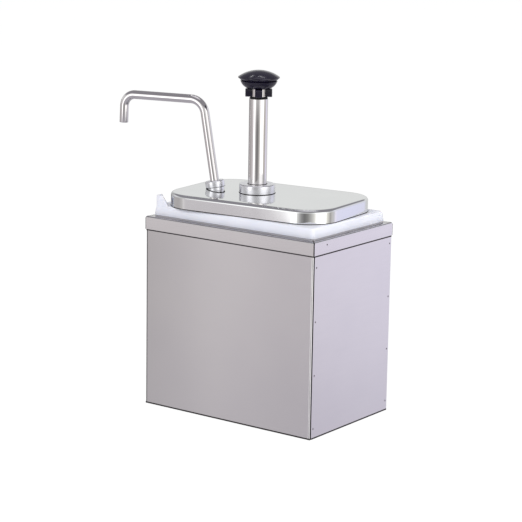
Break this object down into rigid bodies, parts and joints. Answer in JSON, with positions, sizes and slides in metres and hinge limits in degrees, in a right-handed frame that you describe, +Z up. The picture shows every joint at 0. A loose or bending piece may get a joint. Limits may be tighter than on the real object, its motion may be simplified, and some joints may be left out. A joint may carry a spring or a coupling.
{
  "type": "condiment pump dispenser",
  "caption": "Countertop condiment dispenser: steel casing with a lift-out plastic container and a lid that carries a spring-returned piston pump, a bent swivel spout and a mushroom-shaped knob.",
  "frame": {"origin": "middle of the casing's underside", "axes": "+Z up, +X along the casing's long side with the spout on the -X side, -Y towards the front"},
  "size_m": [0.287, 0.146, 0.3649],
  "materials": {
    "casing_steel": "satin stainless sheet",
    "lid_steel": "mirror-polished stainless sheet",
    "turned_steel": "turned and polished stainless",
    "tube_steel": "polished stainless tube",
    "hardware_steel": "plain stainless",
    "spring_steel": "drawn stainless spring wire",
    "white_plastic": "smooth moulded plastic",
    "pump_plastic": "turned natural acetal",
    "black_plastic": "gloss moulded plastic",
    "seal_rubber": "food-grade rubber"
  },
  "bodies": {
    "casing": {"front_panel": "casing_steel", "back_panel": "casing_steel", "left_end_panel": "casing_steel", "right_end_panel": "casing_steel", "base_plate": "casing_steel", "front_rail": "casing_steel", "right_rail": "casing_steel", "back_rail": "casing_steel", "left_rail": "casing_steel"},
    "container": {"container": "white_plastic"},
    "lid": {"lid": "lid_steel", "head_gasket": "seal_rubber", "pump_cylinder": "hardware_steel", "collar": "turned_steel", "guide_bush": "pump_plastic", "pump_foot": "pump_plastic", "inlet_cage": "pump_plastic", "discharge_pipe": "hardware_steel", "outlet_fitting": "hardware_steel", "outlet_pin": "hardware_steel", "wedge_seal": "pump_plastic", "spout_ring": "seal_rubber", "spout_nut": "turned_steel"},
    "inlet_ball": {"inlet_ball": "hardware_steel"},
    "outlet_ball": {"outlet_ball": "hardware_steel"},
    "spout": {"spout_ferrule": "hardware_steel", "spout_tube": "tube_steel"},
    "spring_seat": {"thrust_washer": "black_plastic", "return_spring": "spring_steel"},
    "plunger": {"piston": "pump_plastic", "lower_seal": "seal_rubber", "upper_seal": "seal_rubber", "piston_screw": "hardware_steel", "lower_plug": "hardware_steel", "plunger_tube": "tube_steel", "stop_ring": "hardware_steel", "upper_plug": "hardware_steel", "knob_stud": "hardware_steel", "knob_bowl": "black_plastic", "knob_cap": "black_plastic"}
  },
  "joints": [
    {"name": "container_lift", "type": "slide", "parent": "casing", "child": "container", "axis": [0, 0, 1], "range_m": [0, 0.22]},
    {"name": "lid_lift", "type": "slide", "parent": "container", "child": "lid", "axis": [0, 0, 1], "range_m": [0, 0.22]},
    {"name": "plunger_stroke", "type": "slide", "parent": "lid", "child": "spring_seat", "axis": [0, 0, -1], "range_m": [0, 0.06], "stiffness_N_per_m": 250, "springref_m": -0.03, "deforming": ["return_spring"]},
    {"name": "plunger_turn", "type": "hinge", "parent": "spring_seat", "child": "plunger", "pos_m": [-0.01494, -0.00133, 0.3], "axis": [0, 0, 1], "continuous": true},
    {"name": "spout_swivel", "type": "hinge", "parent": "lid", "child": "spout", "pos_m": [-0.06266, -0.01156, 0.2342], "axis": [-0.1647, -0.0353, 0.9857], "range_deg": [-60, 60]},
    {"name": "inlet_valve", "type": "slide", "parent": "lid", "child": "inlet_ball", "axis": [0, 0, 1], "range_m": [0, 0.0032]},
    {"name": "outlet_valve", "type": "slide", "parent": "lid", "child": "outlet_ball", "axis": [-0.1647, -0.0353, 0.9857], "range_m": [0, 0.0019]}
  ]
}
